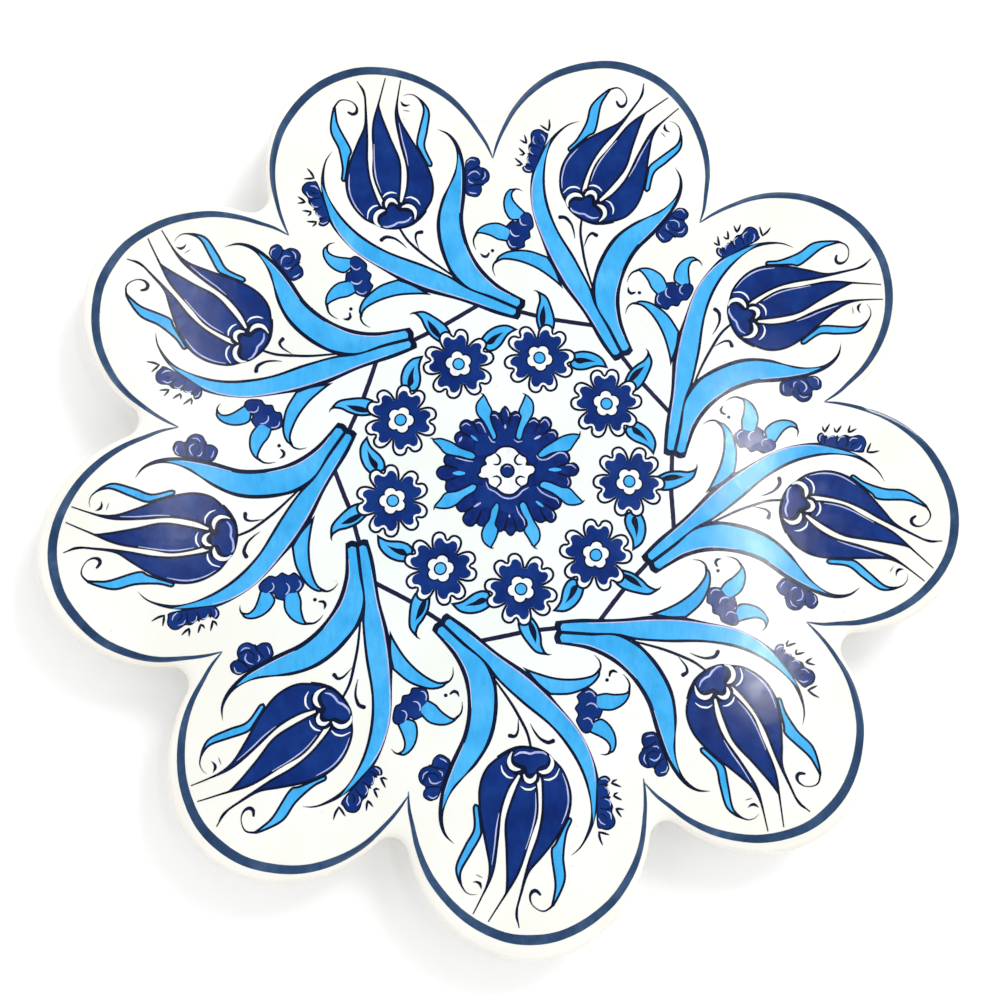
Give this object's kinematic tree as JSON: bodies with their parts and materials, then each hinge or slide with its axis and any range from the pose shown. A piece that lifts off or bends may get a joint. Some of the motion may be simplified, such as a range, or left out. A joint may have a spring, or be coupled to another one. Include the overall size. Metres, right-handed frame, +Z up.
{
  "type": "decorative plate",
  "caption": "Scalloped ceramic plate with a turned foot ring and a glazed blue tulip, leaf and rosette painting on its near-flat white face.",
  "frame": {"origin": "centre of the foot ring in the plane it stands on", "axes": "+Z up out of the painted face; -Y through the tip of one lobe, the lowest one in a front view; +X to the right"},
  "size_m": [0.245, 0.2422, 0.0152],
  "materials": {
    "white_glaze": "clear gloss glaze over white slip",
    "bare_clay": "fired clay, thinly glazed on its sides and bare where it stands",
    "cobalt": "brushed cobalt under clear gloss glaze",
    "turquoise": "flat turquoise wash under clear gloss glaze",
    "navy_line": "fine dark contour brush line under clear gloss glaze",
    "rim_blue": "translucent blue-grey band under clear gloss glaze"
  },
  "bodies": {
    "root": {"plate_body": "white_glaze", "foot_ring": "bare_clay", "rim_line": "rim_blue", "border_line": "navy_line", "tulip_petals": "cobalt", "tulip_calyx": "cobalt", "tulip_sepals": "turquoise", "tulip_stems": "navy_line", "left_leaves": "turquoise", "right_leaves": "turquoise", "side_leaves": "turquoise", "side_buds": "cobalt", "bud_petals": "turquoise", "bud_dots": "navy_line", "left_blossoms": "cobalt", "right_blossoms": "cobalt", "blossom_sprigs": "navy_line", "flower_petals": "cobalt", "flower_outlines": "navy_line", "flower_eyes": "turquoise", "flower_leaves": "turquoise", "rosette_petals": "cobalt", "rosette_leaves": "turquoise", "rosette_scrolls": "navy_line", "rosette_dot": "cobalt"}
  },
  "joints": []
}
